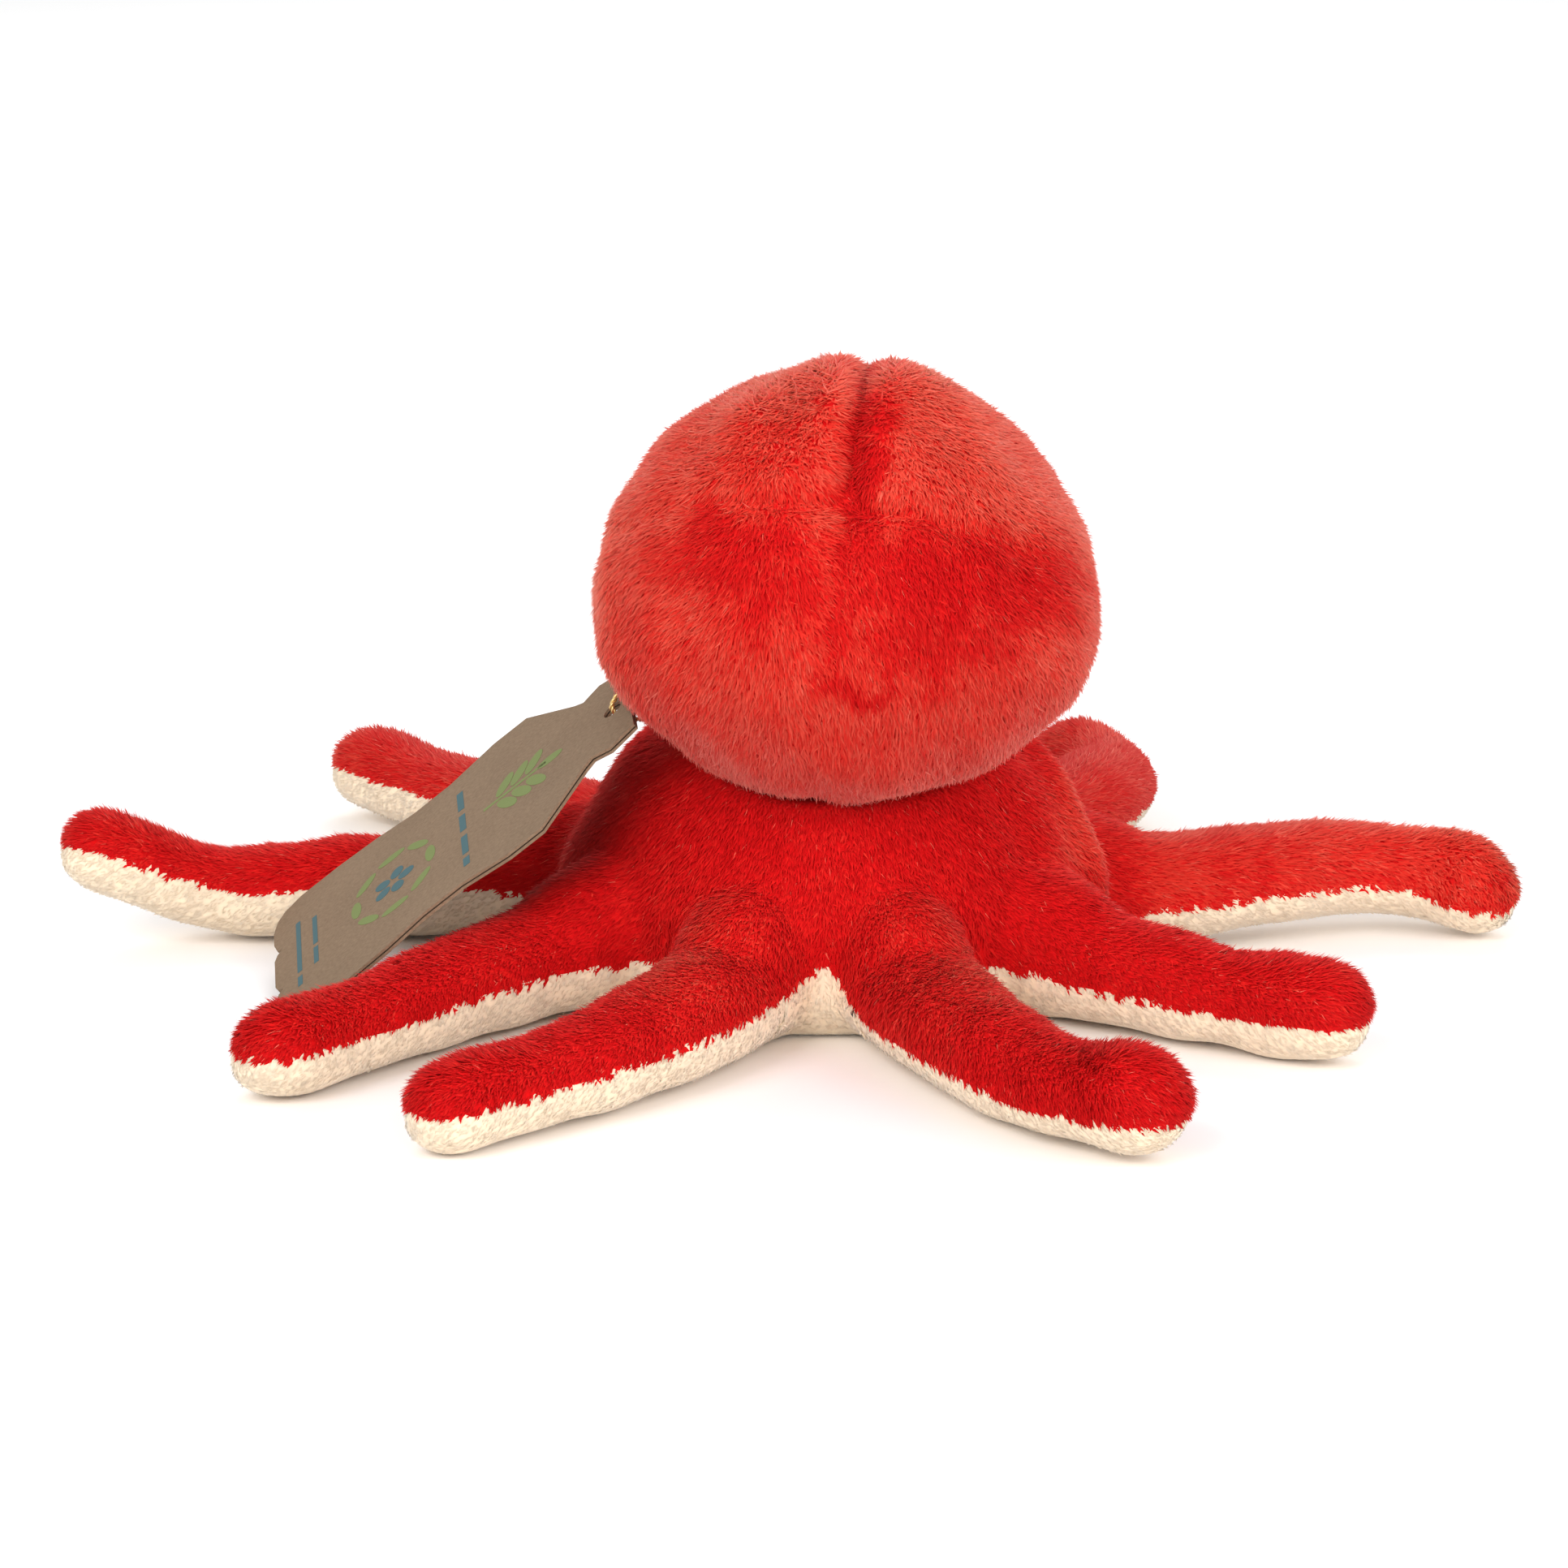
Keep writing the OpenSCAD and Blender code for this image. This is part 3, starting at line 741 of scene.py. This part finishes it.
for node, material in (("eye_left", eyeBlack), ("eye_right", eyeBlack), ("eye_washers", plainWhite),
                       ("bean_pouch", plainWhite), ("pellets", plainWhite), ("tag_front", kraftCard),
                       ("tag_back", kraftCard), ("tag_knot", goldThread)):
    dress(node, material)
for node in ("eye_left", "eye_right"):
    deselectAll()
    nodes[node].select_set(True)
    bpy.context.view_layer.objects.active = nodes[node]
    bpy.ops.object.shade_smooth_by_angle(angle=math.radians(35))
print("hard pieces dressed")


# the card's own frame: across, up the card, out of its face
tag = {"knot": (-26, -10, 51.07), "toHole": (-13.6, -15.5, 4.8), "up": (0.775, -0.03, 0.63),
       "across": (0.12, -0.975, -0.14), "ink": 0.06}
tagUp = unit(np.array(tag["up"]))
tagOut = unit(np.cross(tag["across"], tagUp))
tagAcross = np.cross(tagUp, tagOut)
tagAt = np.array(tag["knot"]) + np.array(tag["toHole"])


def inTag(p):
    return tagAt + p[0] * tagAcross + p[1] * tagUp + p[2] * tagOut


# the thread: three gold strands laid together along one loop
thread = {"strands": 3, "offset": 0.27, "radius": 0.26, "turn": 3.2, "sides": 7, "clear": 1.4,
          "thick": 0.001, "steps": 8,
          "run": [(-12.6, 7, -15.2), (-11, 7.5, -11), (-8, 7.2, -6), (-5, 6.6, -1.5), (-3, 5.2, 1.2),
                  (-1.2, 2.4, 1.7), (0, 0.4, 1.1), (0, 0, -0.4), (-0.6, 0.3, -2.2), (-3, 1.6, -5),
                  (-8, 4.4, -10.5), (-12.2, 6.6, -14.8)]}


# a smooth curve through the points, pushed out where it would enter the mantle
def threadLine():
    run = np.array(thread["run"], float)
    last = len(run) - 1
    line = []
    for t in np.linspace(0, last, last * thread["steps"] + 1):
        i = min(last - 1, int(t))
        f = t - i
        a, b, c, d = run[max(0, i - 1)], run[i], run[i + 1], run[min(last, i + 2)]
        q = 0.5 * (2 * b + (c - a) * f + (2 * a - 5 * b + 4 * c - d) * f**2 + (3 * b - a - 3 * c + d) * f**3)
        out = inTag(q) - mantleAt
        k = np.linalg.norm(out / (np.array(mantle["size"]) + thread["clear"]))
        line.append(mantleAt + out / min(1, k))
    return np.array(line)


# one strand: a tube along its middle, closed at both ends
def addStrand(middle, side, other, start):
    sides, rings = thread["sides"], len(middle)
    co, tri = [], []
    for j in range(sides):
        b = 2 * np.pi * j / sides
        co.append(middle + thread["radius"] * (math.cos(b) * side + math.sin(b) * other))
    co.append(middle[[0, -1]])
    order = np.arange(rings * sides).reshape(sides, rings) + start
    first, final = start + rings * sides, start + rings * sides + 1
    for j in range(sides):
        p, q = order[j], order[(j + 1) % sides]
        tri.append(np.stack([p[:-1], q[:-1], q[1:]], 1))
        tri.append(np.stack([p[:-1], q[1:], p[1:]], 1))
        tri.append(np.array([[first, q[0], p[0]], [final, p[-1], q[-1]]]))
    return np.concatenate(co), np.concatenate(tri)


def buildThread():
    line = threadLine()
    along = unit(np.gradient(line, axis=0))
    step = np.linalg.norm(np.diff(line, axis=0), axis=1)
    far = np.concatenate([[0], np.cumsum(step)])
    side = np.zeros_like(line)
    side[0] = unit(np.cross(along[0], tagUp))
    for i in range(1, len(line)):  # carried on without twisting
        side[i] = unit(side[i - 1] - along[i] * (side[i - 1] @ along[i]))
    other = np.cross(along, side)
    co, tri = [], []
    for k in range(thread["strands"]):
        a = 2 * np.pi * (far / thread["turn"] + k / thread["strands"])
        middle = line + thread["offset"] * (np.cos(a)[:, None] * side + np.sin(a)[:, None] * other)
        strandCo, strandTri = addStrand(middle, side, other, sum(len(c) for c in co))
        co.append(strandCo)
        tri.append(strandTri)
    co, tri = np.concatenate(co), np.concatenate(tri)
    piece = meshFrom("tagString", co * mm, tri, np.zeros(len(tri)), [goldThread])
    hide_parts("tag_thread")
    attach(piece, "skirt_body")


# print on the front leaf: a leafy sprig, a ring of leaves with a flower, and plain bars
leafFace = 0.5  # the front of the leaf, in the card's own frame
sprig = {"stalk": (-23.5, 15), "rows": (-18, -21.5, -25), "out": 4.2, "drop": 0.6, "leaf": (7.2, 2.9),
         "turn": 32, "crown": -15, "crownLeaf": (2.9, 6)}
ring = {"at": -53, "size": (11, 9), "leaf": (6.5, 2.4), "count": 8}
flower = {"out": 3.1, "petal": (3.8, 3.0), "count": 5, "start": 0.3}
bars = [(-12, -36, 8, 1.5), (-2, -36, 7, 1.5), (8, -36, 8, 1.5), (15.5, -36, 3.5, 1.5),
        (-6, -72, 12, 1.1), (5, -72, 7, 1.1), (-4, -76, 22, 1.1), (11, -76, 4, 1.1)]


def addShape(kind, at, size, turn=0):
    deselectAll()
    if kind == "bar":
        bpy.ops.mesh.primitive_cube_add(size=1)
    else:
        bpy.ops.mesh.primitive_cylinder_add(vertices=28, radius=0.5, depth=1)
    piece = bpy.context.object
    piece.scale = (*size, tag["ink"])
    piece.rotation_euler = (0, 0, math.radians(turn))
    piece.location = (*at, leafFace + tag["ink"] / 2)
    return piece


def placePrint(parts, name, material):
    piece = joinAll(parts, name)
    place = Matrix([[tagAcross[i], tagUp[i], tagOut[i], tagAt[i]] for i in range(3)] + [[0, 0, 0, 1]])
    piece.data.transform(Matrix.Diagonal((mm, mm, mm, 1)) @ place)
    piece.data.materials.clear()
    piece.data.materials.append(material)
    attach(piece, "tag_body")
    return piece


def placesRound(count, start=0):
    return np.linspace(start, start + 2 * math.pi, count + 1)[:-1]


def addSprig():
    y, length = sprig["stalk"]
    parts = [addShape("bar", (0, y), (0.9, length))]
    for y in sprig["rows"]:
        for s in (-1, 1):
            place = (s * sprig["out"], y - sprig["drop"])
            parts.append(addShape("leaf", place, sprig["leaf"], s * sprig["turn"]))
    return parts + [addShape("leaf", (0, sprig["crown"]), sprig["crownLeaf"])]


def addRound(reach, size, count, start=0, turn=0):
    return [addShape("leaf", (reach[0] * math.cos(a), ring["at"] + reach[1] * math.sin(a)), size,
                     math.degrees(a) + turn) for a in placesRound(count, start)]


def printCard():
    leaves = addSprig() + addRound(ring["size"], ring["leaf"], ring["count"], turn=90)
    placePrint(leaves, "tagPrintGreen", printGreen)
    plain = [addShape("bar", (x, y), (width, high)) for x, y, width, high in bars]
    petals = addRound((flower["out"], flower["out"]), flower["petal"], flower["count"], flower["start"])
    placePrint(plain + petals, "tagPrintTeal", printTeal)


buildThread()
printCard()
print("tag finished")


# floor and light
floorSize = 40
lamps = {"key": ((-0.8, -1.2, 1.0), 0.9, 14.5), "fill": ((1.1, -1.0, 0.7), 1.0, 12),
         "back": ((0.1, 1.2, 1.1), 1.0, 9), "low": ((0, -1.6, 0.3), 1.2, 10)}
lampAim = (0, 0, 0.04)
skyStrength = 0.72


def buildStage():
    deselectAll()
    bpy.ops.mesh.primitive_plane_add(size=floorSize, location=(0, 0, 0))
    floor = bpy.context.object
    floor.name = "floor"
    floor.data.materials.append(Finish("paleFloor", Base_Color=(0.93, 0.93, 0.93, 1), Roughness=0.9).material)
    for name, (place, size, power) in lamps.items():
        deselectAll()
        bpy.ops.object.light_add(type="AREA", location=place)
        lamp = bpy.context.object
        lamp.name = name
        lamp.data.size = size
        lamp.data.energy = power
        lamp.rotation_euler = (Vector(lampAim) - Vector(place)).to_track_quat("-Z", "Y").to_euler()
    world = bpy.data.worlds.new("studio")
    scene.world = world
    world.use_nodes = True
    back = world.node_tree.nodes["Background"]
    back.inputs["Color"].default_value = (1, 1, 1, 1)
    back.inputs["Strength"].default_value = skyStrength
    scene.view_settings.view_transform = "Standard"


buildStage()
print("stage set")
